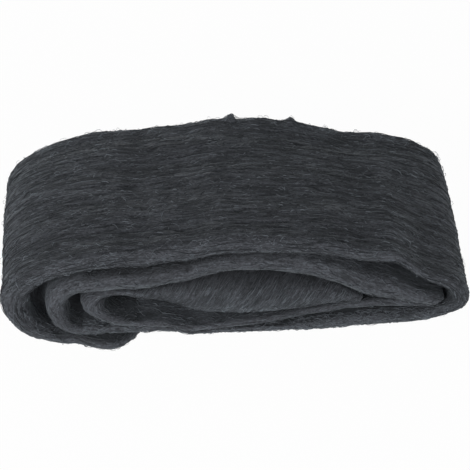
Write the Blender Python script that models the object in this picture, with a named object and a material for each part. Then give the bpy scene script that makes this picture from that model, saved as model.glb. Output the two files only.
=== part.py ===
"""A bundle of steel wool: one long soft band, wound flat into a roll and laid on its side."""

import math

import bmesh
import bpy
from mathutils import Vector

# Overall sizes, in metres. X runs along the bundle, the band's width lies along Y.
BUNDLE_LENGTH = 0.240
BAND_WIDTH = 0.106

# Thickness of the band, layer by layer from the floor up, at shares of the half length.
TAIL = ((-1.0, 0.0060), (-0.55, 0.0055), (-0.38, 0.0040))
BOTTOM_WRAP = ((-0.7, 0.0050), (-0.3, 0.0036), (0.1, 0.0042), (0.6, 0.0078))
LOWER_WRAP = ((-0.7, 0.0045), (-0.2, 0.0038), (0.5, 0.0055), (0.9, 0.0050))
CORE = (
    (-0.62, 0.0040),
    (-0.50, 0.0045),
    (-0.36, 0.0095),
    (-0.15, 0.0262),
    (0.06, 0.0270),
    (0.28, 0.0200),
    (0.44, 0.0110),
    (0.54, 0.0035),
    (0.64, 0.0),
)
UPPER_WRAP = (
    (-0.75, 0.0115),
    (-0.57, 0.0138),
    (-0.36, 0.0142),
    (-0.15, 0.0120),
    (0.07, 0.0118),
    (0.42, 0.0150),
    (0.63, 0.0155),
    (0.80, 0.0110),
)
TOP_WRAP = ((-0.8, 0.0110), (0.0, 0.0100), (0.40, 0.0095), (0.66, 0.0078), (0.80, 0.0080))
TURN_GAP = 0.0006

# Thickness of the band where it turns round at the ends.
LEFT_OUTER_BEND = 0.0130
RIGHT_OUTER_BEND = 0.0095
LEFT_INNER_BEND = 0.0105
RIGHT_INNER_BEND = 0.0110
TONGUE_BEND = 0.0130

# Air left inside the roll.
LEFT_POCKET = 0.0090
RIGHT_POCKET = 0.0030
TONGUE_POCKET = 0.0070
HOLLOW = ((-0.62, 0.0100), (-0.48, 0.0105), (-0.30, 0.0050), (-0.12, 0.0))
LIP_POCKET = ((0.15, 0.0), (0.42, 0.0030), (0.64, 0.0100), (0.75, 0.0100))

# Lengths along the bundle, as shares of its half length.
TAIL_END = -0.36
TAIL_RAMP = 0.18
CORE_END = 0.51
LEFT_TOP_TURN = -0.60
LEFT_LOW_TURN = -0.70
LEFT_INNER_TURN = -0.66
RIGHT_TOP_TURN = 0.68
RIGHT_LOW_TURN = 0.70
TONGUE_TOP_TURN = -0.53
TONGUE_LOW_TURN = -0.42

# How high the tip of each bend stands, as a share of the height it spans.
LEFT_TIP = 0.48
RIGHT_TIP = 0.40
INNER_LEFT_TIP = 0.50
INNER_RIGHT_TIP = 0.42
TONGUE_TIP = 0.70

# How far the free ends of the band are rounded off.
END_ROUND = 0.0040

# How far the front edge of the band stands behind the front plane, along each stretch.
TAIL_EDGE = (0.0095, 0.0020, -0.0065, -0.0105, -0.0100, -0.0075, -0.0045)
LEFT_EDGE = (-0.0045, 0.0)
TOP_EDGE = (0.0, 0.0)
RIGHT_EDGE = (0.0, -0.0010)
BOTTOM_EDGE = (-0.0010, -0.0012, -0.0052)
INNER_LEFT_EDGE = (-0.0052, -0.0030)
UPPER_EDGE = (-0.0030, -0.0010, 0.0010, 0.0, -0.0020)
INNER_RIGHT_EDGE = (-0.0020, 0.0030)
LOWER_EDGE = (0.0030, 0.0030, -0.0020, -0.0055)
TONGUE_EDGE = (-0.0055, 0.0010)
CORE_EDGE = (0.0010, 0.0020, -0.0025, -0.0020, 0.0010)

# How much of that the back edge follows, always inwards.
BACK_SHARE = 0.6

# How strongly the outside of a stretch is ridged.
BARE = (1.0, 1.0)
HIDDEN = (0.0, 0.0)
FADING_IN = (0.0, 0.0, 1.0)
FADING_OUT = (1.0, 0.0, 0.0)

# Two loose ends of wool that stand up from the back edge of the top.
TUFT_PLACES = (0.02, 0.29)
TUFT_HALF_WIDTH = 0.0035
TUFT_HEIGHT = 0.0050
TUFT_LENGTH = 0.008

# Low ridges that run along the outside of the roll.
RIDGE_HEIGHT = 0.0010
RIDGE_SPACING = 0.026
RIDGE_WANDER = 0.9
BROAD_RIDGES = 0.6
SMALL_RIDGES = 0.4

# How far the roll has settled by hand, as shares of its height and width.
WAVE = 0.015
RIGHT_FRONT_SAG = 0.22
LEFT_FRONT_SAG = 0.10
RIGHT_BACK_DIP = 0.07
LEFT_BACK_DIP = 0.08
FRONT_NARROWER = 0.020
EDGE_WANDER = 0.010

# Mesh fineness.
RUN_STEP = 0.0085
TAIL_STEP = 0.0040
BEND_STEPS = 8
BEND_HANDLE = 0.56
LIP_STEPS = 5
OUTER_STEPS = 12
INNER_STEPS = 7
END_STEPS = 3

WOOL_COLOUR = (0.040, 0.042, 0.047, 1.0)

HALF_LENGTH = BUNDLE_LENGTH / 2
FRONT = -BAND_WIDTH / 2
BACK = BAND_WIDTH / 2
LEFT_TOP_X = LEFT_TOP_TURN * HALF_LENGTH
LEFT_LOW_X = LEFT_LOW_TURN * HALF_LENGTH
INNER_LEFT_X = LEFT_INNER_TURN * HALF_LENGTH
RIGHT_TOP_X = RIGHT_TOP_TURN * HALF_LENGTH
RIGHT_LOW_X = RIGHT_LOW_TURN * HALF_LENGTH
INNER_LEFT_END = LEFT_OUTER_BEND + LEFT_POCKET - HALF_LENGTH
INNER_RIGHT_END = HALF_LENGTH - RIGHT_OUTER_BEND - RIGHT_POCKET
TONGUE_END = INNER_LEFT_END + LEFT_INNER_BEND + TONGUE_POCKET
TONGUE_TOP_X = TONGUE_TOP_TURN * HALF_LENGTH
TONGUE_LOW_X = TONGUE_LOW_TURN * HALF_LENGTH
TAIL_END_X = TAIL_END * HALF_LENGTH
CORE_END_X = CORE_END * HALF_LENGTH


def smooth_step(value, low, high):
    """0 below low, 1 above high, and a smooth rise between them."""
    share = min(max((value - low) / (high - low), 0.0), 1.0)
    return share * share * (3 - 2 * share)


def bump(value, centre, half_width):
    """A smooth hump, 1 at its centre and 0 from half_width on."""
    share = min(abs(value - centre) / half_width, 1.0)
    return (1 - share * share) ** 2


def curve(stops, place):
    """A smooth value between stops, flat before the first and after the last."""
    if place <= stops[0][0]:
        return stops[0][1]
    if place >= stops[-1][0]:
        return stops[-1][1]
    slopes = [0.0]
    for before, _, after in zip(stops, stops[1:], stops[2:]):
        slopes.append((after[1] - before[1]) / (after[0] - before[0]))
    slopes.append(0.0)
    i = max(n for n, stop in enumerate(stops) if stop[0] <= place)
    span = stops[i + 1][0] - stops[i][0]
    t = (place - stops[i][0]) / span
    rise = t * t * (3 - 2 * t)
    start_part = t * (1 - t) ** 2 * span * slopes[i]
    end_part = t * t * (t - 1) * span * slopes[i + 1]
    return stops[i][1] * (1 - rise) + stops[i + 1][1] * rise + start_part + end_part


def spread(values, share):
    """A smooth value at a share of a stretch whose evenly spaced values are given."""
    stops = [(i / (len(values) - 1), value) for i, value in enumerate(values)]
    return curve(stops, share)


def layer(stops, x):
    return curve(stops, x / HALF_LENGTH)


# The heights of the layers above the floor at a place along the bundle.


def floor(x):
    return 0.0


def tail_top(x):
    return layer(TAIL, x)


def bottom_low(x):
    ramp = TAIL_RAMP * HALF_LENGTH
    lifted = 1 - smooth_step(x, TAIL_END_X + 0.1 * ramp, TAIL_END_X + ramp)
    return (tail_top(x) + TURN_GAP) * lifted


def bottom_high(x):
    return bottom_low(x) + layer(BOTTOM_WRAP, x)


def lower_low(x):
    return bottom_high(x) + TURN_GAP


def lower_high(x):
    return lower_low(x) + layer(LOWER_WRAP, x)


def core_low(x):
    return lower_high(x) + TURN_GAP + layer(HOLLOW, x)


def core_high(x):
    return core_low(x) + layer(CORE, x)


def upper_low(x):
    return core_high(x) + TURN_GAP


def upper_high(x):
    return upper_low(x) + layer(UPPER_WRAP, x)


def top_low(x):
    return upper_high(x) + TURN_GAP + layer(LIP_POCKET, x)


def top_high(x):
    return top_low(x) + layer(TOP_WRAP, x)


def run(outer, inner, start, end, step=RUN_STEP):
    """Pairs of an outer and an inner point along one flat layer."""
    steps = max(2, round(abs(end - start) / step))
    places = [start + (end - start) * i / steps for i in range(steps + 1)]
    if outer is top_high:
        for tuft_place in TUFT_PLACES:
            for offset in (-1, -0.5, 0, 0.5, 1):
                places.append(tuft_place * HALF_LENGTH + offset * TUFT_HALF_WIDTH)
        places.sort()
    return [((x, outer(x)), (x, inner(x))) for x in places]


def slope(height, x):
    small = 1e-4
    return (height(x + small) - height(x - small)) / (2 * small)


def quarter(start, start_slope, tip):
    """Points of a quarter turn from a layer's end to the outermost point of a bend."""
    reach = tip[0] - start[0]
    drop = tip[1] - start[1]
    corners = (
        Vector(start),
        Vector((start[0] + reach * BEND_HANDLE, start[1] + start_slope * reach * BEND_HANDLE)),
        Vector((tip[0], tip[1] - drop * BEND_HANDLE)),
        Vector(tip),
    )
    points = []
    for i in range(BEND_STEPS + 1):
        t = i / BEND_STEPS
        weights = ((1 - t) ** 3, 3 * t * (1 - t) ** 2, 3 * t * t * (1 - t), t**3)
        point = sum((c * w for c, w in zip(corners, weights)), Vector((0, 0)))
        points.append(tuple(point))
    return points


def half_turn(places, heights, end_x, rise):
    """One side of a bend: from a layer at the first place, round its tip, to the second."""
    start, end = [(x, height(x)) for x, height in zip(places, heights)]
    start_slope, end_slope = [slope(height, x) for x, height in zip(places, heights)]
    low, high = min(start[1], end[1]), max(start[1], end[1])
    tip = (end_x, low + (high - low) * rise)
    return quarter(start, start_slope, tip) + quarter(end, end_slope, tip)[-2::-1]


def bend(outer, inner, places, end_x, thickness, rise):
    """Pairs of points round a bend. outer and inner each name the two layers it joins.

    The tip of the bend stands at a share, rise, of the height between those layers.
    """
    inner_end = end_x + math.copysign(thickness, places[0] - end_x)
    outer_side = half_turn(places, outer, end_x, rise)
    return list(zip(outer_side, half_turn(places, inner, inner_end, rise)))


def band_stretches():
    """The band from its tail on the floor to its end in the core, stretch by stretch."""
    left_turn = (LEFT_LOW_X, LEFT_TOP_X)
    inner_left_turn = (INNER_LEFT_X, INNER_LEFT_X)
    right_turn = (RIGHT_TOP_X, RIGHT_LOW_X)
    tongue_turn = (TONGUE_LOW_X, TONGUE_TOP_X)
    return (
        (run(floor, tail_top, TAIL_END_X, LEFT_LOW_X, TAIL_STEP), TAIL_EDGE, HIDDEN),
        (
            bend(
                (floor, top_high),
                (tail_top, top_low),
                left_turn,
                -HALF_LENGTH,
                LEFT_OUTER_BEND,
                LEFT_TIP,
            ),
            LEFT_EDGE,
            FADING_IN,
        ),
        (run(top_high, top_low, LEFT_TOP_X, RIGHT_TOP_X), TOP_EDGE, BARE),
        (
            bend(
                (top_high, bottom_low),
                (top_low, bottom_high),
                right_turn,
                HALF_LENGTH,
                RIGHT_OUTER_BEND,
                RIGHT_TIP,
            ),
            RIGHT_EDGE,
            FADING_OUT,
        ),
        (run(bottom_low, bottom_high, RIGHT_LOW_X, INNER_LEFT_X), BOTTOM_EDGE, HIDDEN),
        (
            bend(
                (bottom_low, upper_high),
                (bottom_high, upper_low),
                inner_left_turn,
                INNER_LEFT_END,
                LEFT_INNER_BEND,
                INNER_LEFT_TIP,
            ),
            INNER_LEFT_EDGE,
            HIDDEN,
        ),
        (run(upper_high, upper_low, INNER_LEFT_X, RIGHT_TOP_X), UPPER_EDGE, HIDDEN),
        (
            bend(
                (upper_high, lower_low),
                (upper_low, lower_high),
                right_turn,
                INNER_RIGHT_END,
                RIGHT_INNER_BEND,
                INNER_RIGHT_TIP,
            ),
            INNER_RIGHT_EDGE,
            HIDDEN,
        ),
        (run(lower_low, lower_high, RIGHT_LOW_X, TONGUE_LOW_X), LOWER_EDGE, HIDDEN),
        (
            bend(
                (lower_low, core_high),
                (lower_high, core_low),
                tongue_turn,
                TONGUE_END,
                TONGUE_BEND,
                TONGUE_TIP,
            ),
            TONGUE_EDGE,
            HIDDEN,
        ),
        (run(core_high, core_low, TONGUE_TOP_X, CORE_END_X), CORE_EDGE, HIDDEN),
    )


def band_stations():
    """Stations along the band: an outer and an inner point, the front edge's place, the ridges."""
    stations = []
    for pairs, edge, ridged in band_stretches():
        for i, (outer, inner) in enumerate(pairs):
            if stations and i == 0:
                continue
            share = i / (len(pairs) - 1)
            stations.append((Vector(outer), Vector(inner), spread(edge, share), spread(ridged, share)))
    return stations


def rounded_end(station, beyond):
    """Stations that round off one end of the band, from the outermost inwards."""
    outer, inner, drift, ridged = station
    centre = (outer + inner) / 2
    half = (outer - inner) / 2
    along = (centre - beyond).normalized()
    made = []
    for i in range(END_STEPS):
        angle = math.pi / 2 * (1 - (i + 0.35) / (END_STEPS + 0.35))
        shift = along * END_ROUND * math.sin(angle)
        thin = half * math.cos(angle)
        inset = END_ROUND * (1 - math.cos(angle))
        made.append((centre + shift + thin, centre + shift - thin, drift, ridged, inset))
    return made


def uneven(point):
    """The slight unevenness of a hand-wound roll. The floor stays flat."""
    x, y, z = point
    along = x / BUNDLE_LENGTH
    across = y / BAND_WIDTH
    wave = WAVE * math.sin(6.0 * along + 2.2 * across)
    to_front = 1 - smooth_step(across, -0.5, 0.3)
    to_back = smooth_step(across, 0.0, 0.5)
    right_sag = RIGHT_FRONT_SAG * smooth_step(along, 0.31, 0.43)
    left_sag = LEFT_FRONT_SAG * smooth_step(-along, 0.15, 0.45)
    sag = right_sag + left_sag
    right_dip = RIGHT_BACK_DIP * bump(along, 0.26, 0.20)
    left_dip = LEFT_BACK_DIP * smooth_step(-along, 0.10, 0.48)
    dip = right_dip + left_dip
    high = 1 + wave - sag * to_front - dip * to_back
    wide = 1 - FRONT_NARROWER * to_front
    edge = EDGE_WANDER * BAND_WIDTH * math.sin(11 * along + 20 * z / BUNDLE_LENGTH)
    return Vector((x * wide, y + edge * 2 * across, z * high))


def tuft(outer, y):
    """How far a loose end stands up from the top at this place on the band."""
    if outer.y < top_low(outer.x):
        return 0.0
    height = sum(bump(outer.x, at * HALF_LENGTH, TUFT_HALF_WIDTH) for at in TUFT_PLACES)
    return TUFT_HEIGHT * height * smooth_step(y, BACK - TUFT_LENGTH, BACK)


def ridge(outer, y):
    """Height of the ridges at this place on the outside of the roll."""
    along = outer.x / BUNDLE_LENGTH
    turns = 2 * math.pi * (y + 0.1 * outer.y) / RIDGE_SPACING
    broad = math.sin(turns + RIDGE_WANDER * math.sin(7.0 * along))
    small = math.sin(0.6 * turns - 9.0 * along + 1.0)
    return RIDGE_HEIGHT * (BROAD_RIDGES * broad + SMALL_RIDGES * small)


def ring(outer, inner, drift, ridged, inset):
    """The closed outline across the band at one station, with rounded front and back lips."""
    centre = (outer + inner) / 2
    half = (outer - inner) / 2
    front = FRONT + drift + inset
    back = BACK - abs(drift) * BACK_SHARE - inset
    lip = min(half.length * 1.05, 0.2 * BAND_WIDTH)
    outline = []
    for edge, inward, far, steps in ((back, -1, front, INNER_STEPS), (front, 1, back, OUTER_STEPS)):
        for i in range(LIP_STEPS + 1):
            angle = math.pi * (0.5 - i / LIP_STEPS)
            y = edge + inward * lip * (1 - math.cos(angle))
            outline.append((-inward * math.sin(angle), y))
        start = edge + inward * lip
        stop = far - inward * lip
        for i in range(1, steps):
            outline.append((inward, start + (stop - start) * i / steps))
    out = half.normalized()
    points = []
    for side, y in outline:
        outward = max(side, 0.0)
        raised = ridge(outer, y) * ridged * outward
        lift = tuft(outer, y) * outward
        x = centre.x + half.x * side + out.x * raised
        z = centre.y + half.y * side + out.y * raised + lift
        points.append(uneven((x, y, z)))
    return points


def centred(rings):
    """The rings moved so that the middle of their box stands over the origin."""
    corners = [point for points in rings for point in points]
    middle = [(min(p[axis] for p in corners) + max(p[axis] for p in corners)) / 2 for axis in (0, 1)]
    shift = Vector((middle[0], middle[1], 0))
    return [[point - shift for point in points] for points in rings]


def band_mesh():
    stations = band_stations()
    first, second = stations[0], stations[1]
    last, before = stations[-1], stations[-2]
    head = rounded_end(first, (second[0] + second[1]) / 2)
    foot = rounded_end(last, (before[0] + before[1]) / 2)[::-1]
    whole = head + [(*station, 0.0) for station in stations] + foot

    mesh = bmesh.new()
    outlines = centred([ring(*station) for station in whole])
    rings = [[mesh.verts.new(point) for point in outline] for outline in outlines]
    for near, far in zip(rings, rings[1:]):
        for i, vertex in enumerate(near):
            after = (i + 1) % len(near)
            mesh.faces.new((vertex, near[after], far[after], far[i]))
    mesh.faces.new(rings[0][::-1])
    mesh.faces.new(rings[-1])
    bmesh.ops.recalc_face_normals(mesh, faces=mesh.faces)
    return mesh


def wool_material():
    material = bpy.data.materials.new("steel_wool")
    material.use_nodes = True
    shader = material.node_tree.nodes["Principled BSDF"]
    shader.inputs["Base Color"].default_value = WOOL_COLOUR
    shader.inputs["Roughness"].default_value = 0.75
    shader.inputs["Metallic"].default_value = 0.3
    return material


def steel_wool_band():
    source = band_mesh()
    data = bpy.data.meshes.new("steel_wool_band")
    source.to_mesh(data)
    source.free()
    data.shade_smooth()
    band = bpy.data.objects.new("steel_wool_band", data)
    band.data.materials.append(wool_material())
    bpy.context.scene.collection.objects.link(band)
    return band


def main():
    for old in list(bpy.data.objects):
        bpy.data.objects.remove(old)
    steel_wool_band()


main()
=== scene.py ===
import math

import bpy
import numpy as np
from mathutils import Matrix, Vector, noise


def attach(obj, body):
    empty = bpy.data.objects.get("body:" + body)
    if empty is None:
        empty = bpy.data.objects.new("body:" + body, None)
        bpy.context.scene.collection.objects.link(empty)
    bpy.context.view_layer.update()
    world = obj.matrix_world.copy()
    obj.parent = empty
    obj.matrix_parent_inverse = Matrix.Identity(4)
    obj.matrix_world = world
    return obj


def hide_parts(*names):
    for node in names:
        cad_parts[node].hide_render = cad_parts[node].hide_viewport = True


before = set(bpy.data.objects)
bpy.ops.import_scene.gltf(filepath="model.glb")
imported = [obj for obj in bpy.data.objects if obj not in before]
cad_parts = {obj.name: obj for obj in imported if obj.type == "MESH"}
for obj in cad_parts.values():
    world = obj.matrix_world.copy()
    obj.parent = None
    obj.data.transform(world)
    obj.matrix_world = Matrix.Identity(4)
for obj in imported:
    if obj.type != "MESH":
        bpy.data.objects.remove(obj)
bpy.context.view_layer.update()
print("frame loaded")


# The wound band of wool. Lengths in metres, places along it in shares of the half length.
band = {
    "length": 0.240,
    "width": 0.106,
    "gap": 0.0006,
    "tail": ((-1.0, 0.0060), (-0.55, 0.0055), (-0.38, 0.0040)),
    "bottom": ((-0.7, 0.0050), (-0.3, 0.0036), (0.1, 0.0042), (0.6, 0.0078)),
    "lower": ((-0.7, 0.0045), (-0.2, 0.0038), (0.5, 0.0055), (0.9, 0.0050)),
    "core": ((-0.62, 0.0040), (-0.50, 0.0045), (-0.36, 0.0095), (-0.15, 0.0262), (0.06, 0.0270),
             (0.28, 0.0200), (0.44, 0.0110), (0.54, 0.0035), (0.64, 0.0)),
    "upper": ((-0.75, 0.0115), (-0.57, 0.0138), (-0.36, 0.0142), (-0.15, 0.0120), (0.07, 0.0118),
              (0.42, 0.0150), (0.63, 0.0155), (0.80, 0.0110)),
    "top": ((-0.8, 0.0110), (0.0, 0.0100), (0.40, 0.0095), (0.66, 0.0078), (0.80, 0.0080)),
    "hollow": ((-0.62, 0.0100), (-0.48, 0.0105), (-0.30, 0.0050), (-0.12, 0.0)),
    "lipPocket": ((0.15, 0.0), (0.42, 0.0030), (0.64, 0.0100), (0.75, 0.0100)),
    "leftBend": 0.0130, "rightBend": 0.0095, "innerLeftBend": 0.0105, "innerRightBend": 0.0110,
    "tongueBend": 0.0130, "leftPocket": 0.0090, "rightPocket": 0.0030, "tonguePocket": 0.0070,
    "tailEnd": -0.36, "tailRamp": 0.18, "coreEnd": 0.51,
    "leftTop": -0.60, "leftLow": -0.70, "innerLeft": -0.66, "rightTop": 0.68, "rightLow": 0.70,
    "tongueTop": -0.53, "tongueLow": -0.42,
    "leftTip": 0.48, "rightTip": 0.40, "innerLeftTip": 0.50, "innerRightTip": 0.42, "tongueTip": 0.70,
    "endRound": 0.0040,
    "tailEdge": (0.0095, 0.0020, -0.0065, -0.0105, -0.0100, -0.0075, -0.0045),
    "leftEdge": (-0.0045, 0.0), "topEdge": (0.0, 0.0), "rightEdge": (0.0, -0.0010),
    "bottomEdge": (-0.0010, -0.0012, -0.0052), "innerLeftEdge": (-0.0052, -0.0030),
    "upperEdge": (-0.0030, -0.0010, 0.0010, 0.0, -0.0020), "innerRightEdge": (-0.0020, 0.0030),
    "lowerEdge": (0.0030, 0.0030, -0.0020, -0.0055), "tongueEdge": (-0.0055, 0.0010),
    "coreEdge": (0.0010, 0.0020, -0.0025, -0.0020, 0.0010),
    "backShare": 0.6,
    "tufts": (0.02, 0.29), "tuftHalfWidth": 0.0035, "tuftHeight": 0.0050, "tuftLength": 0.008,
    "ridgeHeight": 0.0010, "ridgeSpacing": 0.026, "ridgeWander": 0.9,
    "broadRidges": 0.6, "smallRidges": 0.4,
    # Shares by which the roll waves, sags in front, dips behind, narrows in front and strays at its edges
    "wave": 0.015, "rightFrontSag": 0.22, "leftFrontSag": 0.10, "rightBackDip": 0.07, "leftBackDip": 0.08,
    "frontNarrower": 0.020, "edgeWander": 0.010,
    # Painted shade between two turns: how much the colour is darkened on the inner and on the outer side
    # of each stretch
    "paintedShadeInside": {
        "tailEdge": (0.8, 0.8), "leftEdge": (0.4, 0.0, 0.4), "topEdge": (0.8, 1.0, 0.8, 1.0),
        "rightEdge": (0.9, 0.6), "bottomEdge": (0.7, 0.9, 0.7, 0.3), "innerLeftEdge": (0.4, 0.2, 0.6),
        "upperEdge": (0.7, 0.9, 0.9, 0.8), "innerRightEdge": (0.8, 0.6),
        "lowerEdge": (1.0, 1.0, 0.5, 0.1, 0.2), "tongueEdge": (0.7, 0.7, 0.7), "coreEdge": (0.8, 0.8),
    },
    "paintedShadeOutside": {
        "innerLeftEdge": (0.0, 0.0, 0.3), "upperEdge": (0.9, 1.0, 0.9, 0.2, 0.1),
        "innerRightEdge": (0.1, 0.2), "lowerEdge": (0.7, 0.8, 0.6, 0.3),
        "tongueEdge": (0.0, 0.0, 0.4), "coreEdge": (0.9, 0.9, 0.9, 0.4),
    },
    "ridged": {"leftEdge": (0.0, 0.0, 1.0), "topEdge": (1.0, 1.0), "rightEdge": (1.0, 0.0, 0.0)},
    "runStep": 0.0028, "bendSteps": 20, "bendHandle": 0.56,
    "lipReach": 1.05, "lipMost": 0.2, "lipSteps": 14, "faceSteps": 128, "innerSteps": 12, "endSteps": 6,
}
half = band["length"] / 2
frontY = -band["width"] / 2
backY = band["width"] / 2


def smoothStep(value, low, high):
    share = min(max((value - low) / (high - low), 0.0), 1.0)
    return share * share * (3 - 2 * share)


def bump(value, centre, halfWidth):
    share = min(abs(value - centre) / halfWidth, 1.0)
    return (1 - share * share) ** 2


def curve(stops, place):
    if place <= stops[0][0]:
        return stops[0][1]
    if place >= stops[-1][0]:
        return stops[-1][1]
    slopes = [0.0]
    for before, _, after in zip(stops, stops[1:], stops[2:]):
        slopes.append((after[1] - before[1]) / (after[0] - before[0]))
    slopes.append(0.0)
    i = max(n for n, stop in enumerate(stops) if stop[0] <= place)
    span = stops[i + 1][0] - stops[i][0]
    t = (place - stops[i][0]) / span
    rise = t * t * (3 - 2 * t)
    startPart = t * (1 - t) ** 2 * span * slopes[i]
    endPart = t * t * (t - 1) * span * slopes[i + 1]
    return stops[i][1] * (1 - rise) + stops[i + 1][1] * rise + startPart + endPart


def spread(values, share):
    return curve([(i / (len(values) - 1), value) for i, value in enumerate(values)], share)


def layer(name, x):
    return curve(band[name], x / half)


# Heights of the layers above the floor
def floorHeight(x):
    return 0.0


def tailTop(x):
    return layer("tail", x)


def bottomLow(x):
    ramp = band["tailRamp"] * half
    tailEnd = band["tailEnd"] * half
    return (tailTop(x) + band["gap"]) * (1 - smoothStep(x, tailEnd + 0.1 * ramp, tailEnd + ramp))


def bottomHigh(x):
    return bottomLow(x) + layer("bottom", x)


def lowerLow(x):
    return bottomHigh(x) + band["gap"]


def lowerHigh(x):
    return lowerLow(x) + layer("lower", x)


def coreLow(x):
    return lowerHigh(x) + band["gap"] + layer("hollow", x)


def coreHigh(x):
    return coreLow(x) + layer("core", x)


def upperLow(x):
    return coreHigh(x) + band["gap"]


def upperHigh(x):
    return upperLow(x) + layer("upper", x)


def topLow(x):
    return upperHigh(x) + band["gap"] + layer("lipPocket", x)


def topHigh(x):
    return topLow(x) + layer("top", x)


def run(outer, inner, start, end):
    steps = max(2, round(abs(end - start) / band["runStep"]))
    places = [start + (end - start) * i / steps for i in range(steps + 1)]
    if outer is topHigh:
        for place in band["tufts"]:
            places += [place * half + n / 4 * band["tuftHalfWidth"] for n in range(-4, 5)]
        places.sort()
    return [((x, outer(x)), (x, inner(x))) for x in places]


def slope(height, x):
    return (height(x + 1e-4) - height(x - 1e-4)) / 2e-4


def quarter(start, startSlope, tip):
    reach, drop, handle = tip[0] - start[0], tip[1] - start[1], band["bendHandle"]
    corners = (
        Vector(start),
        Vector((start[0] + reach * handle, start[1] + startSlope * reach * handle)),
        Vector((tip[0], tip[1] - drop * handle)),
        Vector(tip),
    )
    points = []
    for i in range(band["bendSteps"] + 1):
        t = i / band["bendSteps"]
        weights = ((1 - t) ** 3, 3 * t * (1 - t) ** 2, 3 * t * t * (1 - t), t**3)
        points.append(tuple(sum((c * w for c, w in zip(corners, weights)), Vector((0, 0)))))
    return points


def halfTurn(places, heights, endX, rise):
    start, end = [(x, height(x)) for x, height in zip(places, heights)]
    startSlope, endSlope = [slope(height, x) for x, height in zip(places, heights)]
    low, high = min(start[1], end[1]), max(start[1], end[1])
    tip = (endX, low + (high - low) * rise)
    return quarter(start, startSlope, tip) + quarter(end, endSlope, tip)[-2::-1]


def bend(outer, inner, places, endX, thickness, rise):
    innerEnd = endX + math.copysign(thickness, places[0] - endX)
    return list(zip(halfTurn(places, outer, endX, rise), halfTurn(places, inner, innerEnd, rise)))


def bandStretches():
    leftTop, leftLow, innerLeft, rightTop, rightLow, tongueTop, tongueLow, tailEnd, coreEnd = [
        band[name] * half
        for name in ("leftTop", "leftLow", "innerLeft", "rightTop", "rightLow", "tongueTop",
                     "tongueLow", "tailEnd", "coreEnd")
    ]
    innerLeftEnd = band["leftBend"] + band["leftPocket"] - half
    innerRightEnd = half - band["rightBend"] - band["rightPocket"]
    tongueEnd = innerLeftEnd + band["innerLeftBend"] + band["tonguePocket"]
    return (
        (run(floorHeight, tailTop, tailEnd, leftLow), "tailEdge"),
        (bend((floorHeight, topHigh), (tailTop, topLow), (leftLow, leftTop), -half,
              band["leftBend"], band["leftTip"]), "leftEdge"),
        (run(topHigh, topLow, leftTop, rightTop), "topEdge"),
        (bend((topHigh, bottomLow), (topLow, bottomHigh), (rightTop, rightLow), half,
              band["rightBend"], band["rightTip"]), "rightEdge"),
        (run(bottomLow, bottomHigh, rightLow, innerLeft), "bottomEdge"),
        (bend((bottomLow, upperHigh), (bottomHigh, upperLow), (innerLeft, innerLeft), innerLeftEnd,
              band["innerLeftBend"], band["innerLeftTip"]), "innerLeftEdge"),
        (run(upperHigh, upperLow, innerLeft, rightTop), "upperEdge"),
        (bend((upperHigh, lowerLow), (upperLow, lowerHigh), (rightTop, rightLow), innerRightEnd,
              band["innerRightBend"], band["innerRightTip"]), "innerRightEdge"),
        (run(lowerLow, lowerHigh, rightLow, tongueLow), "lowerEdge"),
        (bend((lowerLow, coreHigh), (lowerHigh, coreLow), (tongueLow, tongueTop), tongueEnd,
              band["tongueBend"], band["tongueTip"]), "tongueEdge"),
        (run(coreHigh, coreLow, tongueTop, coreEnd), "coreEdge"),
    )


def bandStations():
    stations = []
    # Painted shade: how much the colour is darkened on the inner and on the outer side
    shades = []  # how dark the inner and the outer side get
    marks = []  # the station at which each stretch starts, for the fibres
    for pairs, edgeName in bandStretches():
        marks.append(max(len(stations) - 1, 0))
        for i, (outer, inner) in enumerate(pairs):
            if stations and i == 0:
                continue
            share = i / (len(pairs) - 1)
            ridged = spread(band["ridged"].get(edgeName, (0.0, 0.0)), share)
            stations.append((Vector(outer), Vector(inner), spread(band[edgeName], share), ridged, 0.0))
            shades.append([
                spread(band[side].get(edgeName, (0.0, 0.0)), share)
                for side in ("paintedShadeInside", "paintedShadeOutside")
            ])
    return stations, shades, marks


def roundedEnd(station, beyond):
    outer, inner, drift, ridged, _ = station
    centre, across = (outer + inner) / 2, (outer - inner) / 2
    along = (centre - beyond).normalized()
    made = []
    for i in range(band["endSteps"]):
        angle = math.pi / 2 * (1 - (i + 0.35) / (band["endSteps"] + 0.35))
        shift = along * band["endRound"] * math.sin(angle)
        thin = across * math.cos(angle)
        made.append((centre + shift + thin, centre + shift - thin, drift, ridged,
                     band["endRound"] * (1 - math.cos(angle))))
    return made


def uneven(x, y, z):
    along, across = x / band["length"], y / band["width"]
    wave = band["wave"] * math.sin(6.0 * along + 2.2 * across)
    toFront = 1 - smoothStep(across, -0.5, 0.3)
    toBack = smoothStep(across, 0.0, 0.5)
    rightSag = band["rightFrontSag"] * smoothStep(along, 0.31, 0.43)
    leftSag = band["leftFrontSag"] * smoothStep(-along, 0.15, 0.45)
    rightDip = band["rightBackDip"] * bump(along, 0.26, 0.20)
    leftDip = band["leftBackDip"] * smoothStep(-along, 0.10, 0.48)
    high = 1 + wave - (rightSag + leftSag) * toFront - (rightDip + leftDip) * toBack
    wide = 1 - band["frontNarrower"] * toFront
    edge = band["edgeWander"] * band["width"] * math.sin(11 * along + 20 * z / band["length"])
    return (x * wide, y + edge * 2 * across, z * high)


def tuft(outer, y):
    if outer.y < topLow(outer.x):
        return 0.0
    height = sum(bump(outer.x, at * half, band["tuftHalfWidth"]) for at in band["tufts"])
    return band["tuftHeight"] * height * smoothStep(y, backY - band["tuftLength"], backY)


def ridge(outer, y):
    along = outer.x / band["length"]
    turns = 2 * math.pi * (y + 0.1 * outer.y) / band["ridgeSpacing"]
    broad = math.sin(turns + band["ridgeWander"] * math.sin(7.0 * along))
    small = math.sin(0.6 * turns - 9.0 * along + 1.0)
    return band["ridgeHeight"] * (band["broadRidges"] * broad + band["smallRidges"] * small)


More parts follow.
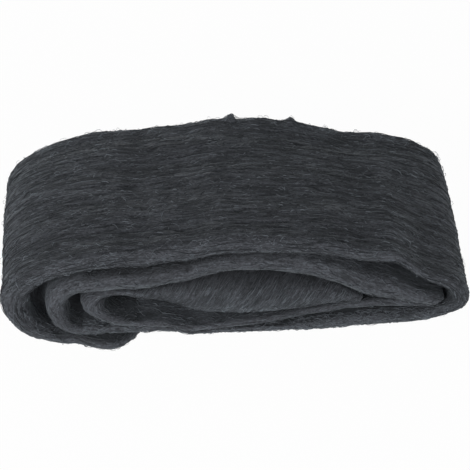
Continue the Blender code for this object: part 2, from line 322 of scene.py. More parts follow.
def evenSteps(start, end, steps):
    return [start + (end - start) * i / steps for i in range(steps)]


def ring(outer, inner, drift, ridged, inset):
    # Starts at the middle of the inner side, so that the seam of the map is out of sight
    centre, across = (outer + inner) / 2, (outer - inner) / 2
    front = frontY + drift + inset
    back = backY - abs(drift) * band["backShare"] - inset
    lip = min(across.length * band["lipReach"], band["lipMost"] * band["width"])
    inFront, inBack, middle = front + lip, back - lip, (front + back) / 2
    outline = [(-1.0, y) for y in evenSteps(middle, inFront, band["innerSteps"])]
    for i in range(band["lipSteps"]):
        angle = math.pi * (i / band["lipSteps"] - 0.5)
        outline.append((math.sin(angle), inFront - lip * math.cos(angle)))
    outline += [(1.0, y) for y in evenSteps(inFront, inBack, band["faceSteps"])]
    for i in range(band["lipSteps"]):
        angle = math.pi * (0.5 - i / band["lipSteps"])
        outline.append((math.sin(angle), inBack + lip * math.cos(angle)))
    outline += [(-1.0, y) for y in evenSteps(inBack, middle, band["innerSteps"])]
    out = across.normalized()
    points = []
    for side, y in outline:
        outward = max(side, 0.0)
        raised = ridge(outer, y) * ridged * outward
        lift = tuft(outer, y) * outward
        points.append(uneven(centre.x + across.x * side + out.x * raised, y,
                             centre.y + across.y * side + out.y * raised + lift))
    return points


# The map of the band laid out flat, in metres: along it, and round its section from the middle of its
# outer side. The bake's own map folds this strip into rows, in shares of the square.
bandMap = {"along": 1.40, "round": 0.28, "rows": 2, "rowFill": 0.985, "rowEdge": 0.004,
           "rowsFrom": 0.01, "rowHeight": 0.37}


def placeInFrame(points):
    low, high = points.min(axis=(0, 1)), points.max(axis=(0, 1))
    return points - np.array([(low[0] + high[0]) / 2, (low[1] + high[1]) / 2, low[2]])


def bandGrid():
    stations, shades, marks = bandStations()
    beyondFirst = (stations[1][0] + stations[1][1]) / 2
    beyondLast = (stations[-2][0] + stations[-2][1]) / 2
    head = roundedEnd(stations[0], beyondFirst)
    foot = roundedEnd(stations[-1], beyondLast)[::-1]
    grid = np.array([ring(*station) for station in head + stations + foot])
    shades = shades[:1] * len(head) + shades + shades[-1:] * len(foot)
    return placeInFrame(grid), np.array(shades), [mark + len(head) for mark in marks]


def creases(shades):
    # Painted shade: 1 deep between two turns, 0 at the tip of each lip
    inward = [-1.0] * band["innerSteps"]
    turning = [math.sin(math.pi * (i / band["lipSteps"] - 0.5)) for i in range(band["lipSteps"])]
    sides = np.array(inward + turning + [1.0] * band["faceSteps"] + [-t for t in turning] + inward)
    share = np.clip((np.abs(sides) - wool["creaseFrom"]) / (1 - wool["creaseFrom"]), 0, 1)
    deep = share * share * (3 - 2 * share)
    return np.where(sides < 0, deep * shades[:, :1], deep * shades[:, 1:])


def distances(line):
    return np.concatenate([[0], np.cumsum(np.linalg.norm(np.diff(line, axis=0), axis=1))])


def girths(rings):
    closed = np.concatenate([rings, rings[:, :1]], axis=1)
    turned = np.cumsum(np.linalg.norm(np.diff(closed, axis=1), axis=2), axis=1)
    return np.concatenate([np.zeros((len(rings), 1)), turned], axis=1)


def flatPlaces(grid):
    # Distance along the band at its middle, and round each section
    faceMiddle = band["innerSteps"] + band["lipSteps"] + band["faceSteps"] // 2
    middle = (grid[:, faceMiddle] + grid[:, 0]) / 2
    around = girths(grid)
    return distances(middle), around - around[:, faceMiddle][:, None]


# Lumps, furrows and grain of the wool, in metres
wool = {
    # creaseFrom: how far round a lip the painted shade between turns begins
    "creaseFrom": 0.35, "floorSkin": 0.0002,
    "lump": 0.0004, "lumpLong": 0.035, "lumpWide": 0.012,
    "furrow": 0.0010, "furrowLong": 0.022, "furrowWide": 0.0034, "furrowLine": 0.13,
    "bend": 0.0014, "bendLong": 0.018, "bendWide": 0.02,
    "patchLong": 0.022, "patchWide": 0.008, "patchContrast": 3.0,
    "grain": 0.0004, "grainLong": 0.0075, "grainWide": 0.0026,
}


def pattern(name, s, v, layerOfNoise):
    return noise.noise((s / wool[name + "Long"], v / wool[name + "Wide"], layerOfNoise))


def furrows(s, v):
    # Long narrow valleys that come and go along the band
    bent = v + wool["bend"] * pattern("bend", s, v, 7.3)
    line = abs(pattern("furrow", s, bent, 3.1))
    patch = 0.5 + 0.5 * pattern("patch", s, v, 11.7)
    shown = min(1.0, max(0.0, patch * wool["patchContrast"] - 1.0))
    return max(0.0, 1 - line / wool["furrowLine"]) * shown


def ruffled(grid, along, around):
    normals = np.cross(
        np.gradient(grid, axis=0),
        np.roll(grid, -1, axis=1) - np.roll(grid, 1, axis=1),
    )
    normals /= np.linalg.norm(normals, axis=2)[..., None] + 1e-12
    outward = grid - grid.mean(axis=1, keepdims=True)
    if (normals * outward).sum() < 0:
        normals = -normals
    depth = np.zeros(grid.shape[:2])
    valley = np.zeros(grid.shape[:2])
    for i, s in enumerate(along):
        for j in range(grid.shape[1]):
            v = around[i, j]
            lump = pattern("lump", s, v, 0.0)
            grain = pattern("grain", s, v, 5.0)
            valley[i, j] = furrows(s, v)
            depth[i, j] = wool["lump"] * lump + wool["grain"] * grain - wool["furrow"] * valley[i, j]
    moved = grid + normals * depth[..., None]
    flat = grid[..., 2] < wool["floorSkin"]
    moved[flat] = grid[flat]
    moved[..., 2] = np.maximum(moved[..., 2], 0.0)
    return moved, valley


def placeObject(name, data):
    piece = bpy.data.objects.new(name, data)
    bpy.context.scene.collection.objects.link(piece)
    return piece


def triangles(piece):
    return sum(len(p.vertices) - 2 for p in piece.data.polygons)


def meshFromGrid(name, grid, valley, paintedCreaseShade, along, around):
    count, size = grid.shape[:2]
    data = bpy.data.meshes.new(name)
    faces = []
    flatCorners = []
    for i in range(count - 1):
        for j in range(size):
            k = (j + 1) % size
            faces.append((i * size + j, (i + 1) * size + j, (i + 1) * size + k, i * size + k))
            flatCorners += [(along[i], around[i, j]), (along[i + 1], around[i + 1, j]),
                            (along[i + 1], around[i + 1, j + 1]), (along[i], around[i, j + 1])]
    for i, order in ((0, range(size)), (count - 1, range(size - 1, -1, -1))):
        faces.append([i * size + j for j in order])
        flatCorners += [(along[i], around[i, j]) for j in order]
    data.from_pydata([tuple(p) for p in grid.reshape(-1, 3)], [], faces)
    flatCorners = np.array(flatCorners)
    flat = data.uv_layers.new(name="band")
    share = flatCorners / (bandMap["along"], bandMap["round"]) + (0.0, 0.5)
    flat.uv.foreach_set("vector", share.astype(np.float32).ravel())
    rowLength = along[-1] / bandMap["rows"]
    loopStarts = np.repeat([p.loop_start for p in data.polygons], [p.loop_total for p in data.polygons])
    firstAlong = flatCorners[loopStarts, 0]
    row = np.clip((firstAlong / rowLength).astype(int), 0, bandMap["rows"] - 1)
    scale = bandMap["rowFill"] / rowLength
    packed = np.stack([
        bandMap["rowEdge"] + (flatCorners[:, 0] - row * rowLength) * scale,
        bandMap["rowsFrom"] + (row + 0.5) * bandMap["rowHeight"] + flatCorners[:, 1] * scale,
    ], axis=1)
    bake = data.uv_layers.new(name="OFBake")
    bake.uv.foreach_set("vector", packed.astype(np.float32).ravel())
    data.uv_layers.active = data.uv_layers["band"]
    # valley marks the furrows and the other attribute the turns; the materials read both as painted shade
    for label, values in (("valley", valley), ("paintedCreaseShade", paintedCreaseShade)):
        stored = data.attributes.new(label, "FLOAT", "POINT")
        stored.data.foreach_set("value", values.astype(np.float32).ravel())
    data.update()
    data.shade_smooth()
    return placeObject(name, data)


# Node helpers
def addNode(tree, kind, **values):
    node = tree.nodes.new(kind)
    for key, value in values.items():
        setattr(node, key, value)
    return node


def link(source, target):
    target.id_data.links.new(source, target)


def feed(value, socket):
    if hasattr(value, "node"):
        link(value, socket)
    else:
        socket.default_value = value


def mathNode(tree, operation, *values):
    node = addNode(tree, "ShaderNodeMath", operation=operation)
    for value, socket in zip(values, node.inputs):
        feed(value, socket)
    return node.outputs[0]


# What all strands share. Lengths and widths are multiples of each patch's own.
strandForm = {
    "shortest": 0.45, "longest": 1.5, "calmest": 0.2, "phaseTo": 6.283,
    "thinnest": 0.3, "thickest": 0.7, "tipShare": 0.25, "taper": 0.6, "sides": 3,
    "streakContrast": 2.6, "aboveFloor": 0.0002,
    # The bake's map: the strand along one side of the square, its tone along the other
    "alongFrom": 0.05, "alongSpan": 0.9, "toneFrom": 0.02, "toneSpan": 0.92, "roundSpan": 0.03,
}


# Strands are laid out on the flat band, then wrapped on to it
def fibreTree(name):
    tree = bpy.data.node_groups.new(name, "GeometryNodeTree")
    face = tree.interface
    face.new_socket("Geometry", in_out="INPUT", socket_type="NodeSocketGeometry")
    for label, kind, value in (
        ("Count", "Int", 1000), ("Seed", "Int", 0), ("Steps", "Int", 7),
        ("Length", "Float", 0.03), ("Width", "Float", 0.0003),
        ("Along From", "Float", 0.0), ("Along To", "Float", 1.0),
        ("Across From", "Float", -0.05), ("Across To", "Float", 0.05),
        ("Turn", "Float", 0.0), ("Turn Spread", "Float", 0.1),
        ("Wave", "Float", 0.03), ("Waves From", "Float", 2.5), ("Waves To", "Float", 9.0),
        ("Lift", "Float", 0.0005), ("Base", "Float", 0.0), ("Sink", "Float", 0.0003),
        ("Keep Valleys", "Float", 0.25), ("Tone From", "Float", 0.0), ("Tone To", "Float", 1.0),
        ("Streaks", "Float", 0.6), ("Crease Shade", "Float", 0.75),
        ("Streak Long", "Float", 0.014), ("Streak Wide", "Float", 0.0011),
    ):
        socket = face.new_socket(label, in_out="INPUT", socket_type="NodeSocket" + kind)
        socket.default_value = value
    face.new_socket("Material", in_out="INPUT", socket_type="NodeSocketMaterial")
    face.new_socket("Geometry", in_out="OUTPUT", socket_type="NodeSocketGeometry")
    given = addNode(tree, "NodeGroupInput").outputs
    result = addNode(tree, "NodeGroupOutput")

    def sums(operation, *values):
        return mathNode(tree, operation, *values)

    def times(first, second):
        return sums("MULTIPLY", first, second)

    def plus(first, second):
        return sums("ADD", first, second)

    def minus(first, second):
        return sums("SUBTRACT", first, second)

    points = addNode(tree, "GeometryNodePoints")
    link(given["Count"], points.inputs["Count"])
    line = addNode(tree, "GeometryNodeCurvePrimitiveLine")
    resample = addNode(tree, "GeometryNodeResampleCurve")
    link(line.outputs["Curve"], resample.inputs["Curve"])
    link(given["Steps"], resample.inputs["Count"])
    scatter = addNode(tree, "GeometryNodeInstanceOnPoints")
    link(points.outputs[0], scatter.inputs["Points"])
    link(resample.outputs[0], scatter.inputs["Instance"])
    strands = addNode(tree, "GeometryNodeRealizeInstances")
    link(scatter.outputs[0], strands.inputs[0])

    strandNumber = addNode(tree, "GeometryNodeCurveOfPoint").outputs["Curve Index"]
    t = addNode(tree, "GeometryNodeSplineParameter").outputs["Factor"]

    def chance(low, high, step):
        node = addNode(tree, "FunctionNodeRandomValue", data_type="FLOAT")
        for value, socket in ((low, node.inputs[2]), (high, node.inputs[3])):
            feed(given[value] if isinstance(value, str) else value, socket)
        link(strandNumber, node.inputs["ID"])
        link(plus(given["Seed"], float(step)), node.inputs["Seed"])
        return node.outputs[1]

    start = chance("Along From", "Along To", 1)
    side = chance("Across From", "Across To", 2)
    ownLength = chance(strandForm["shortest"], strandForm["longest"], 3)
    length = times(given["Length"], ownLength)
    turned = times(chance(-1.0, 1.0, 4), chance(0.0, 1.0, 9))
    turn = plus(given["Turn"], times(given["Turn Spread"], turned))
    phase = chance(0.0, strandForm["phaseTo"], 5)
    ownSwing = chance(strandForm["calmest"], 1.0, 6)
    swing = times(times(given["Wave"], length), ownSwing)
    turns = chance("Waves From", "Waves To", 8)
    raised = chance(0.0, 1.0, 7)
    lift = times(given["Lift"], times(raised, raised))
    x = times(minus(t, 0.5), length)
    y = times(swing, sums("SINE", plus(times(t, turns), phase)))
    cosine, sine = sums("COSINE", turn), sums("SINE", turn)
    s = plus(start, minus(times(x, cosine), times(y, sine)))
    v = plus(side, plus(times(x, sine), times(y, cosine)))
    def onMap(alongBand, roundBand):
        node = addNode(tree, "ShaderNodeCombineXYZ")
        link(sums("DIVIDE", alongBand, bandMap["along"]), node.inputs[0])
        link(plus(sums("DIVIDE", roundBand, bandMap["round"]), 0.5), node.inputs[1])
        return node.outputs[0]

    place = onMap(s, v)
    middle = onMap(start, side)
    mapName = addNode(tree, "GeometryNodeInputNamedAttribute", data_type="FLOAT_VECTOR")
    mapName.inputs["Name"].default_value = "band"

    def sampled(kind, value, at):
        node = addNode(tree, "GeometryNodeSampleUVSurface", data_type=kind)
        link(given["Geometry"], node.inputs["Mesh"])
        link(value, node.inputs["Value"])
        link(mapName.outputs["Attribute"], node.inputs["UV Map"])
        link(at, node.inputs["Sample UV"])
        return node

    def atMiddle(label):
        stored = addNode(tree, "GeometryNodeInputNamedAttribute", data_type="FLOAT")
        stored.inputs["Name"].default_value = label
        return sampled("FLOAT", stored.outputs["Attribute"], middle).outputs["Value"]

    spot = sampled("FLOAT_VECTOR", addNode(tree, "GeometryNodeInputPosition").outputs[0], place)
    out = sampled("FLOAT_VECTOR", addNode(tree, "GeometryNodeInputNormal").outputs[0], place)
    arch = sums("SINE", times(t, math.pi))
    risen = times(arch, plus(lift, given["Sink"]))
    height = minus(plus(given["Base"], risen), given["Sink"])
    away = addNode(tree, "ShaderNodeVectorMath", operation="SCALE")
    link(out.outputs["Value"], away.inputs[0])
    link(height, away.inputs["Scale"])
    final = addNode(tree, "ShaderNodeVectorMath", operation="ADD")
    link(spot.outputs["Value"], final.inputs[0])
    link(away.outputs[0], final.inputs[1])

    # Neighbouring strands share their tone in long thin streaks
    streakPlace = addNode(tree, "ShaderNodeCombineXYZ")
    link(sums("DIVIDE", start, given["Streak Long"]), streakPlace.inputs[0])
    link(sums("DIVIDE", side, given["Streak Wide"]), streakPlace.inputs[1])
    streakNoise = addNode(tree, "ShaderNodeTexNoise")
    streakNoise.inputs["Scale"].default_value = 1.0
    streakNoise.inputs["Detail"].default_value = 1.0
    link(streakPlace.outputs[0], streakNoise.inputs["Vector"])
    apart = times(strandForm["streakContrast"], minus(streakNoise.outputs[0], 0.5))
    streaked = times(given["Streaks"], apart)
    tone = plus(chance("Tone From", "Tone To", 10), streaked)
    # Painted shade: each strand is darkened by the band's painted crease shade at its middle
    creased = times(given["Crease Shade"], atMiddle("paintedCreaseShade"))
    tone = times(tone, minus(1.0, creased))
    tone = sums("MINIMUM", 1.0, sums("MAXIMUM", 0.0, tone))

    # What the colour needs is kept before the curves become a mesh
    toneKept = addNode(tree, "GeometryNodeCaptureAttribute", domain="POINT")
    for label in ("tone", "along", "valid", "depth"):
        toneKept.capture_items.new("FLOAT", label)
    link(strands.outputs[0], toneKept.inputs["Geometry"])
    link(tone, toneKept.inputs["tone"])
    link(t, toneKept.inputs["along"])
    wholeStrand = addNode(tree, "GeometryNodeFieldOnDomain", domain="CURVE", data_type="FLOAT")
    link(spot.outputs["Is Valid"], wholeStrand.inputs[0])
    link(wholeStrand.outputs[0], toneKept.inputs["valid"])
    link(atMiddle("valley"), toneKept.inputs["depth"])
    aboveFloor = addNode(tree, "ShaderNodeVectorMath", operation="MAXIMUM")
    aboveFloor.inputs[1].default_value = (-1.0, -1.0, strandForm["aboveFloor"])
    link(final.outputs[0], aboveFloor.inputs[0])
    moved = addNode(tree, "GeometryNodeSetPosition")
    link(toneKept.outputs["Geometry"], moved.inputs["Geometry"])
    link(aboveFloor.outputs[0], moved.inputs["Position"])
    dropped = addNode(tree, "GeometryNodeDeleteGeometry", domain="CURVE")
    link(moved.outputs[0], dropped.inputs["Geometry"])
    loose = sums("LESS_THAN", toneKept.outputs["valid"], 0.999)
    inValley = sums("GREATER_THAN", toneKept.outputs["depth"], given["Keep Valleys"])
    link(sums("MAXIMUM", loose, inValley), dropped.inputs["Selection"])

    ownWidth = chance(strandForm["thinnest"], strandForm["thickest"], 12)
    taper = times(1 - strandForm["tipShare"], sums("POWER", arch, strandForm["taper"]))
    thick = times(times(given["Width"], ownWidth), plus(strandForm["tipShare"], taper))
    profile = addNode(tree, "GeometryNodeCurvePrimitiveCircle", mode="RADIUS")
    profile.inputs["Resolution"].default_value = strandForm["sides"]
    profile.inputs["Radius"].default_value = 1.0
    aroundKept = addNode(tree, "GeometryNodeCaptureAttribute", domain="POINT")
    aroundKept.capture_items.new("FLOAT", "turn")
    link(profile.outputs["Curve"], aroundKept.inputs["Geometry"])
    link(addNode(tree, "GeometryNodeSplineParameter").outputs["Factor"], aroundKept.inputs["turn"])
    tube = addNode(tree, "GeometryNodeCurveToMesh")
    link(dropped.outputs[0], tube.inputs["Curve"])
    link(thick, tube.inputs["Scale"])
    link(aroundKept.outputs["Geometry"], tube.inputs["Profile Curve"])
    tube.inputs["Fill Caps"].default_value = True

    alongPart = times(strandForm["alongSpan"], toneKept.outputs["along"])
    tonePart = times(strandForm["toneSpan"], toneKept.outputs["tone"])
    roundPart = times(strandForm["roundSpan"], aroundKept.outputs["turn"])
    spotOnMap = addNode(tree, "ShaderNodeCombineXYZ")
    link(plus(strandForm["alongFrom"], alongPart), spotOnMap.inputs[0])
    link(plus(strandForm["toneFrom"], plus(tonePart, roundPart)), spotOnMap.inputs[1])
    stored = addNode(tree, "GeometryNodeStoreNamedAttribute", data_type="FLOAT2", domain="CORNER")
    stored.inputs["Name"].default_value = "OFBake"
    link(tube.outputs[0], stored.inputs["Geometry"])
    link(spotOnMap.outputs[0], stored.inputs["Value"])
    smooth = addNode(tree, "GeometryNodeSetShadeSmooth")
    link(stored.outputs[0], smooth.inputs[0])
    realized = addNode(tree, "GeometryNodeRealizeInstances")
    link(smooth.outputs[0], realized.inputs[0])
    coloured = addNode(tree, "GeometryNodeSetMaterial")
    link(realized.outputs[0], coloured.inputs["Geometry"])
    link(given["Material"], coloured.inputs["Material"])
    link(coloured.outputs[0], result.inputs[0])
    return tree


def fibresOn(name, bandPiece, tree, material, layouts):
    # Each layout is one patch of fibres. All patches become one plain mesh.
    patches = []
    for layout in layouts:
        holder = placeObject(name + "Holder", bandPiece.data)
        modifier = holder.modifiers.new("fibres", "NODES")
        modifier.node_group = tree
        for item in tree.interface.items_tree:
            if item.in_out == "INPUT" and item.name in layout:
                modifier[item.identifier] = layout[item.name]
            if item.in_out == "INPUT" and item.name == "Material":
                modifier[item.identifier] = material
        holder.update_tag()
        grown = holder.evaluated_get(bpy.context.evaluated_depsgraph_get())
        patches.append(bpy.data.meshes.new_from_object(grown))
        bpy.data.objects.remove(holder)
    piece = placeObject(name, patches[0])
    others = [placeObject(name + "Patch", patch) for patch in patches[1:]]
    if others:
        with bpy.context.temp_override(active_object=piece, selected_editable_objects=[piece] + others):
            bpy.ops.object.join()
    print(name, len(piece.data.polygons), "faces", triangles(piece), "triangles")
    return piece


# Materials
look = {
    "dark": (0.0205, 0.0216, 0.0250, 1), "mid": (0.0575, 0.0603, 0.0695, 1),
    "light": (0.104, 0.116, 0.133, 1), "darkTo": 0.41, "midAt": 0.50, "lightFrom": 0.595,
    "strandDark": (0.0205, 0.0216, 0.0250, 1), "strandMid": (0.0645, 0.0680, 0.0780, 1),
    # The top colour of the rim strands is painted rim light
    "strandLight": (0.150, 0.169, 0.191, 1), "paintedRimLight": (0.270, 0.310, 0.345, 1), "strandMidAt": 0.55,
    "roughness": 0.63, "roughnessMore": 0.25, "metallic": 0.1,
    "strandRoughness": 0.75, "strandRoughnessMore": -0.15, "strandMetallic": 0.1,
    "specular": 0.18, "sheen": 0.16, "sheenRoughness": 0.5, "sheenTint": (0.82, 0.94, 1.0, 1),
    # valleyShade and creaseShade darken the colour in the furrows and between the turns: painted shade
    "valleyShade": 0.7, "creaseShade": 0.75, "reliefStrength": 0.8, "reliefDepth": 0.0007,
    # Patterns of the mass: size along and round the band in metres, detail, turn, shift and share
    "patterns": {
        "fine": (0.006, 0.0005, 2.0, 0.06, 0.0, 0.18),
        "leaning": (0.0045, 0.0005, 2.0, -0.55, 3.0, 0.15),
        "rising": (0.0045, 0.0005, 2.0, 0.65, 5.0, 0.15),
        "speckle": (0.0014, 0.0008, 1.0, 0.5, 23.0, 0.30),
        "streak": (0.018, 0.0013, 3.0, 0.0, 9.0, 0.16),
        "patch": (0.05, 0.02, 2.0, 0.0, 17.0, 0.06),
    },
}


def ramp(tree, stops):
    node = addNode(tree, "ShaderNodeValToRGB")
    elements = node.color_ramp.elements
    while len(elements) < len(stops):
        elements.new(0.5)
    for element, (place, colour) in zip(elements, stops):
        element.position = place
        element.color = colour
    return node


def stretchedNoise(tree, source, alongSize, roundSize, detail, turn, shift):
    mapping = addNode(tree, "ShaderNodeMapping")
    mapping.inputs["Rotation"].default_value[2] = turn
    mapping.inputs["Location"].default_value[0] = shift
    mapping.inputs["Scale"].default_value = (1 / alongSize, 1 / roundSize, 1)
    link(source, mapping.inputs["Vector"])
    node = addNode(tree, "ShaderNodeTexNoise")
    node.inputs["Scale"].default_value = 1.0
    node.inputs["Detail"].default_value = detail
    node.inputs["Roughness"].default_value = 0.6
    link(mapping.outputs[0], node.inputs["Vector"])
    return node.outputs["Fac"]


def newMaterial(name):
    material = bpy.data.materials.new(name)
    material.use_nodes = True
    return material, material.node_tree, material.node_tree.nodes["Principled BSDF"]


def dressShader(shader, metallic):
    for label, value in (
        ("Metallic", metallic), ("Specular IOR Level", look["specular"]),
        ("Sheen Weight", look["sheen"]), ("Sheen Tint", look["sheenTint"]),
        ("Sheen Roughness", look["sheenRoughness"]),
    ):
        shader.inputs[label].default_value = value


def woolMaterial():
    material, tree, shader = newMaterial("steelWoolMass")
    flat = addNode(tree, "ShaderNodeUVMap", uv_map="band")
    metres = addNode(tree, "ShaderNodeVectorMath", operation="MULTIPLY")
    metres.inputs[1].default_value = (bandMap["along"], bandMap["round"], 1)
    link(flat.outputs[0], metres.inputs[0])
    noises = {}
    mixed = 0.0
    for label, (*values, share) in look["patterns"].items():
        noises[label] = stretchedNoise(tree, metres.outputs[0], *values)
        mixed = mathNode(tree, "ADD", mixed, mathNode(tree, "MULTIPLY", noises[label], share))
    colours = ramp(tree, (
        (look["darkTo"], look["dark"]), (look["midAt"], look["mid"]), (look["lightFrom"], look["light"]),
    ))
    link(mixed, colours.inputs[0])

    # Painted shade: the colour is darkened in the furrows and between the turns
    def outOf(label, share):
        stored = addNode(tree, "ShaderNodeAttribute", attribute_name=label)
        return mathNode(tree, "SUBTRACT", 1.0, mathNode(tree, "MULTIPLY", stored.outputs["Fac"], share))

    shade = mathNode(tree, "MULTIPLY", outOf("valley", look["valleyShade"]),
                     outOf("paintedCreaseShade", look["creaseShade"]))
    shaded = addNode(tree, "ShaderNodeVectorMath", operation="SCALE")
    link(colours.outputs[0], shaded.inputs[0])
    link(shade, shaded.inputs["Scale"])
    link(shaded.outputs[0], shader.inputs["Base Color"])
    rougher = mathNode(tree, "MULTIPLY", noises["fine"], look["roughnessMore"])
    link(mathNode(tree, "ADD", rougher, look["roughness"]), shader.inputs["Roughness"])
    dressShader(shader, look["metallic"])
    hills = addNode(tree, "ShaderNodeBump")
    hills.inputs["Strength"].default_value = look["reliefStrength"]
    hills.inputs["Distance"].default_value = look["reliefDepth"]
    link(mixed, hills.inputs["Height"])
    link(hills.outputs[0], shader.inputs["Normal"])
    return material


def strandMaterial(name, dark, mid, light):
    material, tree, shader = newMaterial(name)
    flat = addNode(tree, "ShaderNodeUVMap", uv_map="OFBake")
    parts = addNode(tree, "ShaderNodeSeparateXYZ")
    link(flat.outputs[0], parts.inputs[0])
    tone = parts.outputs[1]
    colours = ramp(tree, ((0.0, dark), (look["strandMidAt"], mid), (1.0, light)))
    link(tone, colours.inputs[0])
    link(colours.outputs[0], shader.inputs["Base Color"])
    rougher = mathNode(tree, "MULTIPLY", tone, look["strandRoughnessMore"])
    link(mathNode(tree, "ADD", rougher, look["strandRoughness"]), shader.inputs["Roughness"])
    dressShader(shader, look["strandMetallic"])
    return material


grid, shades, marks = bandGrid()
along, around = flatPlaces(grid)
girth = float(np.ptp(around, axis=1).max())
print("band", round(float(along[-1]), 3), "m long, girth", round(girth, 3), "m")
print("stretches start at", [round(float(along[m]), 3) for m in marks])
woolBand = meshFromGrid("woolBand", *ruffled(grid, along, around), creases(shades), along, around)
woolBand.data.materials.append(woolMaterial())
print("wool band", triangles(woolBand), "triangles")

# Thin webs of loose wool in the openings, darkened by one uniform painted shade. Lengths in metres, the
# rows count from the front lip.
pocketWool = {"stations": 44, "columns": 10, "intoWalls": 0.12, "dip": 0.0040, "thick": 0.0020,
              "lump": 0.0010, "lumpSize": 0.006, "paintedCreaseShade": 0.55, "deepPaintedCreaseShade": 0.85,
              "innerRow": 2, "outerRow": 9, "deepInnerRow": 5, "deepOuterRow": 26}
stretchNames = [edgeName for _, edgeName in bandStretches()]


def stationAt(edgeName, share):
    stretch = stretchNames.index(edgeName)
    ends = marks + [len(grid) - band["endSteps"] - 1]
    return round(ends[stretch] + share * (ends[stretch + 1] - ends[stretch]))


def innerLine(start, end, depth):
    fromStation, toStation = stationAt(*start), stationAt(*end)
    step = 1 if toStation > fromStation else -1
    return grid[range(fromStation, toStation + step, step), band["innerSteps"] - depth]


def outerLine(start, end, depth):
    return grid[stationAt(*start):stationAt(*end) + 1, band["innerSteps"] + band["lipSteps"] + depth]


def evenly(line):
    far = distances(line)
    at = np.linspace(0, far[-1], pocketWool["stations"])
    return np.stack([np.interp(at, far, line[:, axis]) for axis in range(3)], axis=1)


def pocketFiller(name, wallLine, turnLine, paintedCreaseShade):
    # From one side of a pocket to the other
    rings = []
    for wall, turn in zip(evenly(wallLine), evenly(turnLine)):
        ringPoints = []
        for c in range(2 * pocketWool["columns"]):
            isBack = c >= pocketWool["columns"]
            column = 2 * pocketWool["columns"] - 1 - c if isBack else c
            share = column / (pocketWool["columns"] - 1)
            across = share * (1 + 2 * pocketWool["intoWalls"]) - pocketWool["intoWalls"]
            spot = wall * (1 - across) + turn * across
            hollow = math.sin(math.pi * share)
            lump = noise.noise(Vector(spot) / pocketWool["lumpSize"])
            spot[1] += pocketWool["dip"] * hollow + pocketWool["lump"] * lump
            spot[1] += isBack * pocketWool["thick"] * (0.5 + hollow)
            ringPoints.append(spot)
        rings.append(ringPoints[::-1])
    points = np.array(rings)
    far = distances(points.mean(axis=1))
    flat = np.zeros(points.shape[:2])
    # No furrows, and one uniform painted shade across the web
    piece = meshFromGrid(name, points, flat, flat + paintedCreaseShade, far, girths(points))
    piece.data.materials.append(woolBand.data.materials[0])
    print(name, triangles(piece), "triangles,", round(float(far[-1]), 3), "m long")
    return piece


leftPocketWool = pocketFiller(
    "leftPocketWool",
    innerLine(("leftEdge", 0), ("leftEdge", 1), pocketWool["innerRow"]),
    outerLine(("innerLeftEdge", 0), ("innerLeftEdge", 1), pocketWool["outerRow"]),
    pocketWool["paintedCreaseShade"],
)
innerPocketWool = pocketFiller(
    "innerPocketWool",
    innerLine(("innerLeftEdge", 0), ("innerLeftEdge", 1), pocketWool["innerRow"]),
    outerLine(("tongueEdge", 0), ("tongueEdge", 1), pocketWool["outerRow"]),
    pocketWool["paintedCreaseShade"],
)
# These two lie further in, only close the long openings and carry a deeper painted shade
rightPocketWool = pocketFiller(
    "rightPocketWool",
    innerLine(("topEdge", 0.56), ("rightEdge", 1), pocketWool["deepInnerRow"]),
    outerLine(("upperEdge", 0.58), ("innerRightEdge", 1), pocketWool["deepOuterRow"]),
    pocketWool["deepPaintedCreaseShade"],
)
hollowWool = pocketFiller(
    "hollowWool",
    innerLine(("lowerEdge", 0.73), ("tongueEdge", 0.5), pocketWool["deepInnerRow"]),
    innerLine(("coreEdge", 0.40), ("tongueEdge", 0.5), pocketWool["deepInnerRow"]),
    pocketWool["deepPaintedCreaseShade"],
)

tree = fibreTree("woolFibres")
fibre = strandMaterial("steelFibre", look["strandDark"], look["strandMid"], look["strandLight"])
# Strands for the rims: their pale colour is painted rim light
rimLitFibre = strandMaterial("rimLitSteelFibre", look["strandMid"], look["strandLight"], look["paintedRimLight"])
bandEnd = float(along[-1])
(leftStart, topStart, rightStart, bottomStart, innerLeftStart, upperStart, innerRightStart,
 lowerStart, tongueStart, coreStart) = [float(along[m]) for m in marks[1:]]

# Patches of strands on the flat band, in metres
outside = {"Along From": leftStart - 0.01, "Along To": bottomStart + 0.01,
           "Across From": -0.062, "Across To": 0.062}
loose = {"Steps": 8, "Width": 0.00013, "Turn Spread": 1.6, "Wave": 0.16, "Waves From": 4.0,
         "Waves To": 11.0, "Sink": 0.0002, "Tone From": 0.2, "Tone To": 0.9, "Streaks": 0.2,
         "Crease Shade": 0.3}
tangle = {"Steps": 5, "Length": 0.011, "Width": 0.00032, "Across From": -0.112, "Tone From": 0.5,
          "Tone To": 1.0, "Crease Shade": 0.0}
fuzz = {"Steps": 4, "Length": 0.0042, "Width": 0.00022, "Lift": 0.0024, "Tone From": 0.2, "Tone To": 0.9}
filling = {**loose, "Steps": 5, "Length": 0.007, "Width": 0.0003, "Along From": 0.0, "Along To": 0.08,
           "Across From": 0.0, "Across To": 0.014, "Lift": 0.002, "Tone From": 0.1, "Tone To": 0.9,
           "Crease Shade": 0.5}
lip = {"Steps": 4, "Width": 0.00030, "Along From": 0.01, "Along To": coreStart + 0.03,
       "Across From": -0.080, "Across To": -0.048, "Wave": 0.10, "Lift": 0.0007, "Sink": 0.0002}
